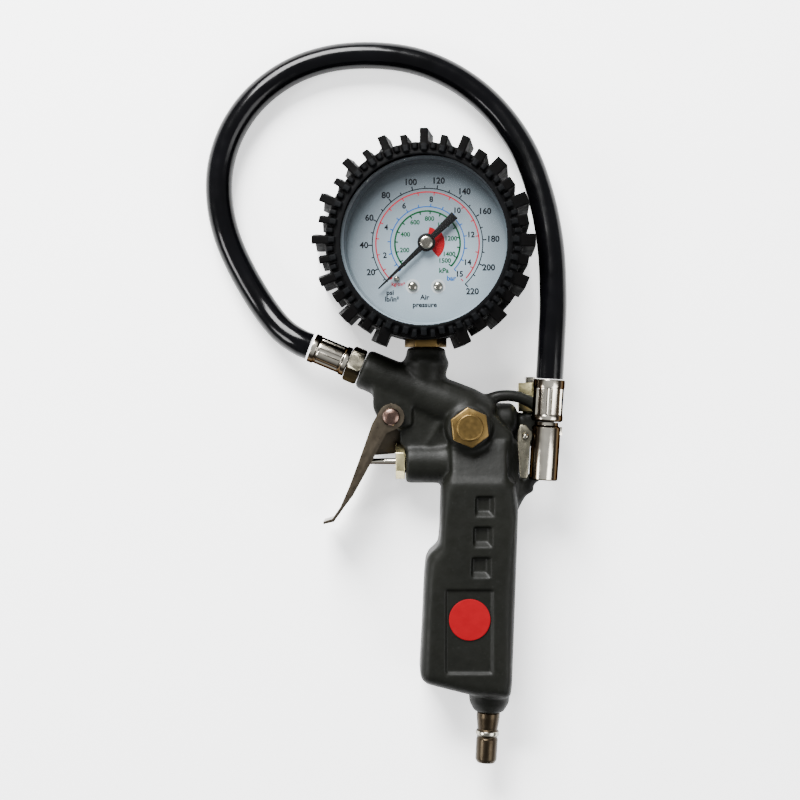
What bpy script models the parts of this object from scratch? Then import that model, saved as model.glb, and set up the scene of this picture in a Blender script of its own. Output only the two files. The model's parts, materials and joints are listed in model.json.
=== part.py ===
"""Tyre inflator with gauge, lying on its side: +X is the rear of the gun, +Y is the
gauge end, +Z is up out of the face of the gauge.  Sizes below are in millimetres and
are turned into metres when each object is made.  The origin is on the resting plane
under the pointer's axis."""
import math

import bmesh
import bpy
from mathutils import Matrix, Vector

MM = 0.001
GAP = 0.3                      # clearance between pieces that touch

# driving dimensions
MID = 13.0                     # height of the casting's middle plane and of the gauge stem
BOOT_CENTRE = (-1.0, 0.5)      # the rubber boot sits a little off the gauge's centre
BOOT_RING, BOOT_LONG, BOOT_SHORT = 35.8, 40.2, 38.2
BOOT_INNER, BOOT_LIP, BOOT_TOP = 32.6, 30.2, 34.4
CASE_RADIUS, CASE_TOP = 31.2, 29.8
DIAL_RADIUS, DIAL_TOP = 28.6, 25.0
LENS_RADIUS = 31.0
POINTER_Z = 27.0
ZERO_ANGLE = 224.0             # where the pointer rests, in degrees from +X
SECTOR_PIVOT = (9.2, -13.1)
TUBE_TIP = (-17.0, -14.2)
BARREL_END = (-23.5, -45.0)    # centre of the hose outlet's face
BARREL_ANGLE = -22.5
BARREL_RADIUS = 7.3
VALVE_Y = -79.4
PIVOT = (-12.7, -62.9)         # trigger pivot
SIDE_PLUG = (15.7, -66.8)
HANDLE_DEPTH = 26.0
INLET = (23.8, -160.0)         # start of the inlet thread
INLET_ANGLE = -93.0
LOOP_CENTRE, LOOP_RADIUS, LOOP_ROD = (30.0, -71.9), 16.8, 2.0
CHUCK_TOP, CHUCK_END, CHUCK_Z = (44.9, -49.4), (42.6, -85.9), 21.2
CHUCK_RADIUS = 5.25
CLIP_PIVOT = (36.1, -70.0)
BLEED_X, BLEED_Z, BLEED_TOP = 39.3, 5.5, -50.4
HOSE_RADIUS = 5.0
LABEL_CENTRE = (15.7, -136.3)
LABEL_RECESS = 0.9

# the hose's route, chosen by hand: out of the ferrule, down onto the table, round the
# gauge and up to the chuck, which lies on the hanging loop
HOSE_ROUTE = [
    (-42.8, -37.0, 13.0), (-46.6, -35.4, 12.9), (-53.4, -30.6, 10.6), (-60.8, -21.4, 7.2),
    (-68.6, -8.4, 5.4), (-74.2, 4.4, 5.2), (-77.0, 17.6, 5.2), (-76.6, 31.0, 5.2),
    (-72.2, 44.2, 5.2), (-63.8, 56.0, 5.2), (-51.4, 65.4, 5.2), (-36.6, 70.8, 5.2),
    (-19.6, 72.2, 5.2), (-2.6, 69.8, 5.2), (12.8, 62.8, 5.4), (26.0, 51.6, 6.6),
    (36.4, 36.2, 9.4), (42.6, 18.4, 13.2), (45.8, -0.6, 17.2), (46.4, -19.8, 20.2),
    (45.7, -36.0, 21.2), (45.0, -49.1, 21.2)]


def clear_scene():
    for item in list(bpy.data.objects):
        bpy.data.objects.remove(item)


def material(name, colour, roughness, metallic=0.0):
    made = bpy.data.materials.get(name)
    if made is None:
        made = bpy.data.materials.new(name)
        made.use_nodes = True
        shader = made.node_tree.nodes["Principled BSDF"]
        shader.inputs["Base Color"].default_value = (*colour, 1.0)
        shader.inputs["Roughness"].default_value = roughness
        shader.inputs["Metallic"].default_value = metallic
    return made


FINISHES = {
    "casting": ((0.035, 0.037, 0.040), 0.55, 0.0), "steel": ((0.60, 0.60, 0.58), 0.30, 1.0),
    "chrome": ((0.80, 0.80, 0.79), 0.12, 1.0), "nickel": ((0.42, 0.40, 0.36), 0.28, 1.0),
    "brass": ((0.72, 0.53, 0.25), 0.32, 1.0), "rubber": ((0.015, 0.015, 0.017), 0.55, 0.0),
    "hose_rubber": ((0.010, 0.010, 0.012), 0.25, 0.0), "lens": ((0.90, 0.93, 0.95), 0.05, 0.0),
    "dial": ((0.80, 0.84, 0.88), 0.60, 0.0), "black_paint": ((0.010, 0.010, 0.010), 0.45, 0.0),
    "case_plastic": ((0.05, 0.05, 0.05), 0.50, 0.0), "label": ((0.80, 0.10, 0.10), 0.45, 0.0),
    "bezel": ((0.35, 0.37, 0.39), 0.50, 0.0), "filter": ((0.55, 0.42, 0.25), 0.80, 0.0)}


def add_object(name, shape, finish, origin=None, frame=None):
    """Makes a named object of a shape in millimetres, with its origin at the given point."""
    if frame is not None:
        shape.transform(frame)
    start = Vector(origin) if origin else Vector((0, 0, 0))
    bmesh.ops.translate(shape, vec=-start, verts=shape.verts)
    bmesh.ops.scale(shape, vec=(MM, MM, MM), verts=shape.verts)
    bmesh.ops.recalc_face_normals(shape, faces=shape.faces)
    mesh = bpy.data.meshes.new(name)
    shape.to_mesh(mesh)
    shape.free()
    mesh.materials.append(material(finish, *FINISHES[finish]))
    made = bpy.data.objects.new(name, mesh)
    bpy.context.scene.collection.objects.link(made)
    made.location = start * MM
    mesh.shade_smooth()
    mesh.set_sharp_from_angle(angle=math.radians(32))
    return made


def combine(target, tools, operation):
    """Joins or cuts with a list of tool objects, and removes the tools."""
    for tool in tools:
        tool.hide_render = True
        tool.display_type = "WIRE"
        step = target.modifiers.new(tool.name, "BOOLEAN")
        step.operation = operation
        step.solver = "EXACT"
        step.object = tool
    bpy.context.view_layer.update()
    finished = target.evaluated_get(bpy.context.evaluated_depsgraph_get())
    mesh = bpy.data.meshes.new_from_object(finished)
    target.modifiers.clear()
    target.data = mesh
    for tool in tools:
        bpy.data.objects.remove(tool)
    return target


def aimed(x, y, z, direction):
    """The frame whose local +Z points along a direction."""
    turn = Vector(direction).normalized().to_track_quat("Z", "Y").to_matrix().to_4x4()
    return Matrix.Translation((x, y, z)) @ turn


def in_plane(x, y, degrees, z=MID):
    angle = math.radians(degrees)
    return aimed(x, y, z, (math.cos(angle), math.sin(angle), 0.0))


def layers(rings):
    """A closed solid through matching rings of points, with flat ends."""
    shape = bmesh.new()
    made = [[shape.verts.new(point) for point in ring] for ring in rings]
    count = len(made[0])
    for low, high in zip(made, made[1:]):
        for i in range(count):
            j = (i + 1) % count
            shape.faces.new((low[i], low[j], high[j], high[i]))
    shape.faces.new(list(reversed(made[0])))
    shape.faces.new(made[-1])
    return shape


def prism(outline, z0, z1):
    return layers([[(x, y, z) for x, y in outline] for z in (z0, z1)])


def inset(outline, distance):
    """Moves an anticlockwise outline inwards by a distance."""
    moved = []
    for i, point in enumerate(outline):
        here = Vector(point)
        before = (here - Vector(outline[i - 1])).normalized()
        after = (Vector(outline[(i + 1) % len(outline)]) - here).normalized()
        inward = Vector((-before.y - after.y, before.x + after.x)).normalized()
        reach = distance / max(0.35, inward.dot(Vector((-before.y, before.x))))
        moved.append(tuple(here + inward * reach))
    return moved


def rounded_prism(outline, z0, z1, radius, steps=3):
    """A prism whose top and bottom edges are rounded."""
    rings = []
    for k in range(steps + 1):
        angle = math.pi / 2 * k / steps
        shrink, rise = radius * (1 - math.sin(angle)), radius * (1 - math.cos(angle))
        rings.append([(x, y, z0 + rise) for x, y in inset(outline, shrink)])
    for k in range(steps, -1, -1):
        angle = math.pi / 2 * k / steps
        shrink, rise = radius * (1 - math.sin(angle)), radius * (1 - math.cos(angle))
        rings.append([(x, y, z1 - rise) for x, y in inset(outline, shrink)])
    return layers(rings)


def circle(x, y, radius, steps=24, start=0.0):
    turn = [start + 2 * math.pi * i / steps for i in range(steps)]
    return [(x + radius * math.cos(a), y + radius * math.sin(a)) for a in turn]


def arc(x, y, radius, first, last, steps):
    turn = [math.radians(first + (last - first) * i / steps) for i in range(steps + 1)]
    return [(x + radius * math.cos(a), y + radius * math.sin(a)) for a in turn]


def hexagon(across_flats, degrees=30.0, x=0.0, y=0.0):
    return circle(x, y, across_flats / math.sqrt(3), 6, math.radians(degrees))


def rod(radius, z0, z1, steps=24, x=0.0, y=0.0):
    return prism(circle(x, y, radius, steps), z0, z1)


def box(x0, x1, y0, y1, z0, z1):
    return prism([(x0, y0), (x1, y0), (x1, y1), (x0, y1)], z0, z1)


def turned(profile, steps=24, closed=False):
    """A solid of revolution about local Z.  The profile lists (radius, height) upwards;
    closed=True is for a loop of points that keeps off the axis, such as a bored piece."""
    shape = bmesh.new()
    rings = []
    for radius, height in profile:
        rings.append([shape.verts.new((x, y, height)) for x, y in circle(0, 0, radius, steps)])
    pairs = list(zip(rings, rings[1:]))
    if closed:
        pairs.append((rings[-1], rings[0]))
    for low, high in pairs:
        for i in range(steps):
            j = (i + 1) % steps
            shape.faces.new((low[i], low[j], high[j], high[i]))
    if not closed:
        shape.faces.new(list(reversed(rings[0])))
        shape.faces.new(rings[-1])
    return shape


def ring_solid(inner, outer, z0, z1, steps=24):
    return turned([(outer, z0), (outer, z1), (inner, z1), (inner, z0)], steps, closed=True)


def swept(points, radius, steps=6):
    """A round wire along a list of points."""
    rings = []
    for i, point in enumerate(points):
        here = Vector(point)
        ahead = Vector(points[min(i + 1, len(points) - 1)]) - Vector(points[max(i - 1, 0)])
        ahead.normalize()
        if i == 0:
            side = ahead.orthogonal()
        side = (side - ahead * side.dot(ahead)).normalized()
        other = ahead.cross(side)
        rings.append([here + radius * (math.cos(a) * side + math.sin(a) * other)
                      for a in (2 * math.pi * k / steps for k in range(steps))])
    return layers(rings)


def coil(mean, wire, z0, z1, turns, per_turn=10):
    count = turns * per_turn
    points = []
    for i in range(count + 1):
        angle = 2 * math.pi * i / per_turn
        height = z0 + wire + (z1 - z0 - 2 * wire) * i / count
        points.append((mean * math.cos(angle), mean * math.sin(angle), height))
    return swept(points, wire, 6)


def tool(shape, frame=None):
    return add_object("tool", shape, "steel", frame=frame)


# ---- the casting ------------------------------------------------------------------------
def handle_outline():
    return [(-2.3, -156.0), (0.4, -160.3), (9.0, -162.6), (18.0, -164.8), (31.3, -165.5),
            (32.6, -127.0), (33.8, -94.0), (32.4, -86.0), (5.4, -86.0), (5.0, -110.0),
            (0.0, -114.6), (-1.2, -135.0)]


def head_outline():
    return [(5.4, -92.0), (32.2, -92.0), (32.2, -69.0), (19.7, -56.9), (14.6, -52.4),
            (6.4, -49.4), (4.0, -56.0), (5.4, -74.0)]


def hanging_loop():
    points = []
    steps = 16
    for i in range(steps + 1):
        angle = math.radians(126.0 - (126.0 + 84.0) * i / steps)
        points.append((LOOP_CENTRE[0] + LOOP_RADIUS * math.cos(angle),
                       LOOP_CENTRE[1] + LOOP_RADIUS * math.sin(angle), MID))
    return swept(points, LOOP_ROD, 10)


def make_casting():
    body = add_object("body_casting", rounded_prism(handle_outline(), 0.0, HANDLE_DEPTH, 4.0),
                      "casting")
    barrel = in_plane(*BARREL_END, BARREL_ANGLE)
    neck = in_plane(0.1, 0.0, -90.0)
    inlet = in_plane(*INLET, INLET_ANGLE)
    joined = [
        tool(rounded_prism(head_outline(), 3.4, 22.6, 2.0, 2)),
        tool(turned([(6.7, 0.0), (BARREL_RADIUS, 0.8), (BARREL_RADIUS, 40.0)]), barrel),
        tool(turned([(6.9, 37.6), (7.0, 40.0), (8.4, 43.0), (7.4, 46.5), (6.6, 50.0),
                     (6.6, 60.0)]), neck),
        tool(prism([(-6.8, -75.0), (12.0, -75.0), (12.0, -58.0), (-6.8, -54.0)], 8.0, 18.0)),
        tool(turned([(6.7, -7.4), (7.3, -6.7), (7.3, 9.0)]), in_plane(0.0, VALVE_Y - 0.6, 0.0)),
        tool(rod(9.7, 12.0, 23.0, 28, *SIDE_PLUG)),
        tool(prism([(-9.4, -67.3), (-5.0, -66.0), (-5.0, -54.0), (-19.4, -50.0),
                    (-19.4, -59.6), (-17.0, -65.0), (-13.0, -67.4)], 6.6, 19.4)),
        tool(hanging_loop()),
        tool(rod(6.2, 16.0, 34.0, 20), in_plane(0.0, -64.2, 0.0, 7.2)),
        tool(rod(4.8, 61.4, 74.0, 16), in_plane(BLEED_X, 0.0, -90.0, BLEED_Z)),
        tool(box(28.0, 38.0, -74.0, -63.0, 1.4, 9.4)),
        tool(turned([(7.5, 0.0), (7.3, 7.6), (5.2, 11.6)]), inlet)]
    combine(body, joined, "UNION")
    cut = [
        tool(turned([(4.4, -1.0), (4.4, 9.0), (2.6, 9.4), (2.6, 44.0)], 16), barrel),
        tool(turned([(4.9, 36.0), (4.9, 48.0), (2.0, 48.5), (2.0, 58.0)], 16), neck),
        tool(turned([(4.7, -9.0), (4.7, -1.6), (3.4, -1.4), (3.4, 24.0)], 16),
             in_plane(0.0, VALVE_Y, 0.0)),
        tool(turned([(2.4, -72.0), (2.4, 1.0), (4.4, 1.5), (4.4, 13.0)], 16), inlet),
        tool(rod(2.4, 13.0, 17.0, 12), in_plane(0.0, -80.0, 0.0)),
        tool(turned([(2.4, 76.0), (2.4, 92.0)], 12), in_plane(20.0, 0.0, -90.0)),
        tool(rod(4.5, 14.0, 25.0, 16, *SIDE_PLUG)),
        tool(rod(2.0, -1.0, 30.0, 12, *PIVOT)),
        tool(turned([(3.3, 60.0), (3.3, 68.0)], 12), in_plane(BLEED_X, 0.0, -90.0, BLEED_Z))]
    for row in range(3):
        low = -99.6 - 11.1 * row
        left = 17.8 - 0.7 * row
        cut.append(tool(wedge_pocket(left, 24.2 - 0.6 * row, low, low + 8.2, 1.5)))
    cut.append(tool(wedge_pocket(6.8, 24.0, -156.6, -125.4, LABEL_RECESS)))
    return combine(body, cut, "DIFFERENCE")


def wedge_pocket(x0, x1, y0, y1, depth):
    """A rectangular recess in the upper face, with a sloping lower wall."""
    floor = HANDLE_DEPTH - depth
    rings = [[(x0, y0 + 1.2, floor), (x1, y0 + 1.2, floor), (x1, y1, floor), (x0, y1, floor)],
             [(x0, y0 - 1.2, HANDLE_DEPTH + depth), (x1, y0 - 1.2, HANDLE_DEPTH + depth),
              (x1, y1, HANDLE_DEPTH + depth), (x0, y1, HANDLE_DEPTH + depth)]]
    return layers(rings)


# ---- trigger and valve ------------------------------------------------------------------
LEVER_OUTER = [(-19.6, -65.2), (-23.4, -76.0), (-27.9, -88.2), (-31.4, -96.2), (-34.2, -100.2),
               (-37.5, -101.2)]
CHEEK_NEAR = (19.8, 21.0)
CHEEK_FAR = (5.0, 6.2)


def cheek_outline(ear):
    """One side of the lever: an eye round the pivot and a tapering blade."""
    eye = arc(*PIVOT, 4.8, -62.0, 160.0, 10)
    back = [(-30.2, -96.4), (-26.6, -91.6), (-19.8, -79.2), (-14.6, -69.0)]
    if ear:
        back = [(-30.2, -96.4), (-26.6, -91.6), (-18.8, -77.4), (-11.6, -76.8), (-7.4, -73.2),
                (-7.0, -70.0), (-9.4, -67.4)]
    front = [(-19.2, -64.6), (-23.0, -75.6), (-27.6, -88.0), (-31.0, -96.0)]
    return list(reversed(front)) [:1] + back + eye + front[:-1]


def make_trigger():
    strip = LEVER_OUTER + [(x + dx, y + dy) for (x, y), (dx, dy) in zip(
        reversed(LEVER_OUTER), [(0.1, -0.9), (0.7, -0.9), (1.1, -0.4), (1.1, -0.4),
                                (1.1, -0.4), (1.1, -0.4)])]
    strip[6], strip[7] = (-37.4, -102.1), (-33.6, -101.2)
    lever = add_object("trigger_lever", prism(list(reversed(strip)), CHEEK_FAR[0], CHEEK_NEAR[1]),
                       "nickel", (*PIVOT, MID))
    cheeks = [tool(prism(cheek_outline(False), *CHEEK_NEAR)),
              tool(prism(cheek_outline(True), *CHEEK_FAR))]
    combine(lever, cheeks, "UNION")
    combine(lever, [tool(rod(1.95, 0.0, 26.0, 12, *PIVOT))], "DIFFERENCE")
    pin = turned([(1.6, 3.4), (1.6, 21.3), (3.1, 21.3), (3.1, 22.0), (2.3, 22.7)], 20)
    add_object("pivot_pin", pin, "steel", frame=Matrix.Translation((*PIVOT, 0.0)))
    add_object("pivot_clip", ring_solid(1.9, 3.2, 3.8, 4.6, 16), "steel",
               frame=Matrix.Translation((*PIVOT, 0.0)))


def make_valve():
    axis = in_plane(0.0, VALVE_Y, 0.0)
    nut = add_object("valve_gland_nut", prism(hexagon(11.4, 0.0), -11.1, -7.7), "brass", frame=axis)
    combine(nut, [tool(rod(4.3, -8.2, -2.6, 20), axis)], "UNION")
    combine(nut, [tool(rod(1.75, -12.0, -2.0, 14), axis)], "DIFFERENCE")
    add_object("stem_oring", ring_solid(1.7, 3.0, -1.2, 0.2, 16), "rubber", frame=axis)
    add_object("valve_seat", ring_solid(1.9, 3.1, 1.6, 3.2, 16), "brass", frame=axis)
    stem = turned([(1.0, -22.4), (1.35, -21.9), (1.35, 3.6), (2.3, 3.7), (2.3, 4.8)], 16)
    add_object("valve_stem", stem, "chrome", frame=axis)
    poppet = turned([(2.8, 5.1), (2.8, 7.4), (1.4, 7.6), (1.4, 9.6)], 16)
    add_object("valve_poppet", poppet, "rubber", frame=axis)
    add_object("valve_spring", coil(2.3, 0.3, 9.9, 21.6, 5), "steel", frame=axis)


def make_plugs():
    here = Matrix.Translation((*SIDE_PLUG, 0.0))
    plug = add_object("side_plug", prism(hexagon(13.0, 36.5), 23.9, 27.6), "brass", frame=here)
    combine(plug, [tool(turned([(4.1, 15.2), (4.1, 24.4)], 20), here),
                   tool(turned([(5.1, 27.2), (5.1, 28.1), (4.7, 28.5)], 24), here)], "UNION")
    add_object("side_plug_washer", ring_solid(4.5, 7.2, 23.1, 23.7, 24), "brass", frame=here)
    axis = in_plane(*INLET, INLET_ANGLE)
    profile = [(4.0, 3.6), (4.0, 11.9), (4.5, 12.3), (4.7, 14.4), (4.4, 16.6), (3.7, 17.4),
               (3.7, 19.0), (4.2, 19.4), (4.2, 21.4), (4.0, 21.7), (4.0, 29.8), (3.3, 30.6),
               (2.2, 30.6), (2.2, 3.6)]
    add_object("inlet_plug", turned(profile, 20, closed=True), "nickel", frame=axis)
    add_object("inlet_filter", turned([(1.8, 5.0), (1.8, 12.0), (0.8, 15.0)], 12), "filter",
               frame=axis)


# ---- gauge ------------------------------------------------------------------------------
def boot_outline():
    """The ring with long and short lugs by turns, left off where the stem comes out."""
    cx, cy = BOOT_CENTRE
    points = []
    for i in range(32):
        centre = 90.0 + 11.25 * i
        tip = BOOT_LONG if i % 2 == 0 else BOOT_SHORT
        half = 1.7 if i % 2 == 0 else 1.2
        if i in (15, 16, 17):
            points += arc(cx, cy, BOOT_RING, centre - 5.6, centre + 2.8, 2)
            continue
        foot = math.degrees((half + 0.5) / BOOT_RING)
        top = math.degrees(half / tip)
        points += [arc(cx, cy, BOOT_RING, centre - foot, centre, 1)[0],
                   *arc(cx, cy, tip, centre - top, centre + top, 1),
                   arc(cx, cy, BOOT_RING, centre, centre + foot, 1)[1]]
    return points


def make_boot():
    boot = add_object("gauge_boot", prism(boot_outline(), 0.0, BOOT_TOP), "rubber")
    centre = Matrix.Translation((*BOOT_CENTRE, 0.0))
    hollow = turned([(24.0, -1.0), (24.0, 2.0), (BOOT_INNER, 2.0), (BOOT_INNER, 32.6),
                     (BOOT_LIP, 32.6), (BOOT_LIP, 36.0)], 48)
    combine(boot, [tool(hollow, centre), tool(box(-8.5, 8.5, -44.0, -28.0, 4.6, 21.4))],
            "DIFFERENCE")


def make_case():
    case = add_object("gauge_case", turned([(22.0, 0.0), (22.0, 2.4), (30.4, 2.4),
                                            (CASE_RADIUS, 3.2), (CASE_RADIUS, CASE_TOP)], 48),
                      "case_plastic")
    hollow = turned([(29.6, 4.2), (29.6, 31.0)], 48)
    combine(case, [tool(hollow), tool(rod(5.5, 26.0, 36.0, 20), in_plane(0.0, 0.0, -90.0))],
            "DIFFERENCE")
    add_object("bezel_ring", ring_solid(28.9, 30.9, CASE_TOP + 0.2, CASE_TOP + 0.9, 48), "bezel")
    add_object("gauge_lens", turned([(LENS_RADIUS, 31.0), (LENS_RADIUS, 31.9), (30.0, 32.3)], 48),
               "lens")


def make_socket():
    axis = in_plane(0.0, 0.0, -90.0)
    socket = add_object("gauge_socket", prism(hexagon(13.4, 0.0), 34.2, 37.3), "brass", frame=axis)
    combine(socket, [tool(rod(5.1, 28.0, 35.0, 20), axis), tool(rod(4.5, 36.0, 46.6, 20), axis),
                     tool(box(-6.0, 6.0, -28.8, -18.6, 8.6, 17.2))], "UNION")
    combine(socket, [tool(rod(1.2, 21.0, 48.0, 12), axis)], "DIFFERENCE")


def make_dial():
    dial = add_object("dial_plate", rod(DIAL_RADIUS, DIAL_TOP - 0.6, DIAL_TOP, 48), "dial")
    screws = [(-4.9, -15.7), (4.3, -15.7)]
    holes = [tool(rod(1.4, 20.0, 30.0, 12))]
    holes += [tool(rod(1.2, 20.0, 30.0, 12, *spot)) for spot in screws + [(-10.7, -13.0)]]
    combine(dial, holes, "DIFFERENCE")
    for side, spot in zip(("left", "right"), screws):
        screw = turned([(0.85, 22.3), (0.85, 25.3), (1.75, 25.3), (1.6, 25.9), (0.9, 26.3)], 14)
        add_object(f"dial_screw_{side}", screw, "steel", frame=Matrix.Translation((*spot, 0.0)))
    add_object("stop_pin", rod(0.55, 22.3, 27.8, 10, -10.7, -13.0), "steel")


def pointer_outline():
    body = arc(0, 0, 3.2, 18.0, 162.0, 8)
    other = arc(0, 0, 3.2, 198.0, 342.0, 8)
    return [(14.2, -1.6), (14.2, 1.6), *body, (-23.8, 0.25), (-24.2, 0.0), (-23.8, -0.25), *other]


def make_pointer():
    turn = Matrix.Rotation(math.radians(ZERO_ANGLE - 180.0), 4, "Z")
    centre = (0.0, 0.0, POINTER_Z)
    outline = prism(pointer_outline(), POINTER_Z, POINTER_Z + 0.5)
    pointer = add_object("pointer", outline, "black_paint", centre, turn)
    combine(pointer, [tool(rod(1.1, 20.0, 30.0, 12))], "DIFFERENCE")
    cap = turned([(2.4, 27.8), (2.4, 28.3), (2.0, 28.8), (1.0, 29.0)], 20)
    add_object("pointer_hub", cap, "brass", centre)
    teeth = []
    for i in range(12):
        step = 2 * math.pi * i / 12
        teeth += [(1.35 * math.cos(step - 0.16), 1.35 * math.sin(step - 0.16)),
                  (1.8 * math.cos(step), 1.8 * math.sin(step)),
                  (1.35 * math.cos(step + 0.16), 1.35 * math.sin(step + 0.16))]
    shaft = add_object("pinion_shaft", rod(0.75, 12.6, 27.5, 12), "brass", centre)
    combine(shaft, [tool(prism(teeth, 17.4, 19.2))], "UNION")


def make_movement():
    px, py = SECTOR_PIVOT
    for name, low in (("movement_plate_back", 15.0), ("movement_plate_front", 21.0)):
        outline = (arc(px, py, 3.8, -150.0, 40.0, 6) + arc(4.0, 2.6, 3.4, 30.0, 90.0, 2)
                   + arc(-3.0, 1.5, 3.6, 90.0, 200.0, 4) + [(-6.8, -14.5), (-5.8, -17.4)])
        plate = add_object(name, prism(outline, low, low + 1.0), "brass")
        holes = [tool(rod(1.1, 10.0, 30.0, 10)), tool(rod(1.3, 10.0, 30.0, 10, px, py))]
        combine(plate, holes, "DIFFERENCE")
    for side, x, y in (("left", -5.0, -9.5), ("right", 4.2, 3.2)):
        add_object(f"movement_pillar_{side}", rod(1.0, 16.3, 20.7, 10, x, y), "brass")
    facing = math.degrees(math.atan2(-py, -px)) - 15.0
    teeth = []
    for i in range(10):
        step = facing - 18.0 + 4.0 * i
        teeth += [arc(px, py, 13.3, step - 1.2, step, 1)[0], arc(px, py, 13.9, step, step, 1)[0]]
    tail = arc(px, py, 6.6, 198.0, 218.0, 2)
    outline = teeth + [(px - 2.2, py + 1.0)] + tail + arc(px, py, 2.4, 230.0, 400.0, 8)
    sector = add_object("sector_gear", prism(outline, 17.7, 19.0), "brass", (px, py, 18.3))
    combine(sector, [tool(rod(0.95, 13.0, 18.0, 10, px, py)), tool(rod(0.95, 18.7, 22.6, 10, px, py))],
            "UNION")
    spiral = []
    for i in range(34):
        angle, reach = 2 * math.pi * i / 14, 1.5 + 2.4 * i / 33
        spiral.append((reach * math.cos(angle), reach * math.sin(angle), 20.1))
    add_object("hair_spring", swept(spiral, 0.16, 4), "brass")
    make_link()
    tube = arc(0, 0, 25.4, -70.0, 212.0, 36) + list(reversed(arc(0, 0, 23.0, -70.0, 212.0, 36)))
    add_object("bourdon_tube", prism(tube, 8.4, 17.2), "brass")


def make_link():
    """The bar from the free end of the tube to the sector's tail."""
    ex, ey = 3.4, -16.2
    length = math.hypot(ex - TUBE_TIP[0], ey - TUBE_TIP[1])
    turn = math.atan2(ey - TUBE_TIP[1], ex - TUBE_TIP[0])
    outline = arc(0, 0, 1.1, 90.0, 270.0, 6) + arc(length, 0, 1.1, -90.0, 90.0, 6)
    frame = Matrix.Translation((*TUBE_TIP, 0.0)) @ Matrix.Rotation(turn, 4, "Z")
    add_object("sector_link", prism(outline, 19.3, 20.0), "brass", (*TUBE_TIP, 19.6), frame)


# ---- hose, chuck and bleed valve --------------------------------------------------------
def smooth_route(route, spacing):
    """Points at an even spacing along a smooth curve through the route's points."""
    fine = []
    for i in range(len(route) - 1):
        a, b = Vector(route[max(i - 1, 0)]), Vector(route[i])
        c, d = Vector(route[i + 1]), Vector(route[min(i + 2, len(route) - 1)])
        for k in range(10):
            t = k / 10
            fine.append(0.5 * (2 * b + (c - a) * t + (2 * a - 5 * b + 4 * c - d) * t * t
                               + (3 * b - a - 3 * c + d) * t ** 3))
    fine.append(Vector(route[-1]))
    total = sum((q - p).length for p, q in zip(fine, fine[1:]))
    count = max(2, round(total / spacing))
    kept, walked, goal = [fine[0]], 0.0, total / count
    for p, q in zip(fine, fine[1:]):
        step = (q - p).length
        while walked + step >= goal and len(kept) < count:
            kept.append(p.lerp(q, (goal - walked) / step))
            goal += total / count
        walked += step
    kept.append(fine[-1])
    return kept


def make_hose():
    curve = bpy.data.curves.new("hose", "CURVE")
    curve.dimensions = "3D"
    curve.bevel_depth = HOSE_RADIUS * MM
    curve.bevel_resolution = 2
    curve.render_resolution_u = 0
    curve.use_fill_caps = True
    points = smooth_route(HOSE_ROUTE, 9.0)
    spline = curve.splines.new("POLY")
    spline.points.add(len(points) - 1)
    for spot, point in zip(spline.points, points):
        spot.co = (*(point * MM), 1.0)
    curve.materials.append(material("hose_rubber", *FINISHES["hose_rubber"]))
    bpy.context.scene.collection.objects.link(bpy.data.objects.new("hose", curve))


def make_hose_end():
    axis = in_plane(*BARREL_END, BARREL_ANGLE + 180.0)
    nut = add_object("hose_nut", prism(hexagon(12.0, 0.0), 0.3, 5.4), "steel", frame=axis)
    combine(nut, [tool(rod(4.0, -8.0, 0.8, 16), axis)], "UNION")
    combine(nut, [tool(rod(1.8, -9.0, 7.0, 12), axis)], "DIFFERENCE")
    profile = [(5.5, 5.7), (5.5, 7.4), (5.0, 7.8), (5.0, 17.6), (5.4, 18.0), (5.4, 20.0),
               (2.0, 20.0), (2.0, 5.7)]
    add_object("ferrule_inlet", turned(profile, 24, closed=True), "chrome", frame=axis)


def chuck_axis():
    top, end = Vector((*CHUCK_TOP, CHUCK_Z)), Vector((*CHUCK_END, CHUCK_Z))
    return aimed(*top, end - top), (end - top).length


def make_chuck():
    axis, length = chuck_axis()
    collar = [(5.75, 0.0), (5.75, 3.2), (5.3, 3.6), (5.3, 13.4), (5.7, 13.8), (5.7, 15.2),
              (2.0, 15.2), (2.0, 0.0)]
    add_object("ferrule_chuck", turned(collar, 24, closed=True), "chrome", frame=axis)
    shell = [(4.3, 15.5), (4.3, 16.6), (CHUCK_RADIUS, 17.4), (CHUCK_RADIUS, length - 0.4),
             (CHUCK_RADIUS - 0.4, length), (4.2, length), (4.2, 25.0), (2.0, 25.0), (2.0, 15.5)]
    body = add_object("chuck_body", turned(shell, 28, closed=True), "chrome", frame=axis)
    left = tool(box(37.0, 40.6, -72.6, -67.2, 19.9, 22.5))
    combine(body, [tool(box(48.0, 49.4, -69.6, -66.6, 19.6, 22.8))], "UNION")
    combine(body, [left], "DIFFERENCE")
    combine(body, [tool(rod(4.2, 25.2, length + 2.0, 24), axis)], "DIFFERENCE")
    blade = [(34.6, -84.6), (36.4, -85.0), (36.3, -80.0), (36.6, -74.0), (38.0, -71.4),
             (39.6, -71.2), (39.6, -69.0), (37.6, -68.2), (36.2, -66.2), (34.6, -66.4), (34.4, -70.0)]
    lever = add_object("chuck_lever", prism(blade, 20.2, 22.2), "chrome", (*CLIP_PIVOT, CHUCK_Z))
    combine(lever, [tool(rod(0.9, 15.0, 26.0, 10, *CLIP_PIVOT))], "DIFFERENCE")
    add_object("chuck_pin", rod(0.6, 19.4, 23.0, 10, *CLIP_PIVOT), "steel")
    add_object("chuck_seal", ring_solid(1.9, 3.9, length - 4.6, length - 1.6, 20), "rubber",
               frame=axis)
    add_object("chuck_depressor", turned([(1.0, 26.0), (3.6, 26.2), (3.6, 27.4), (1.0, 27.6),
                                          (1.0, length - 5.4)], 14), "brass", frame=axis)


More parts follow.
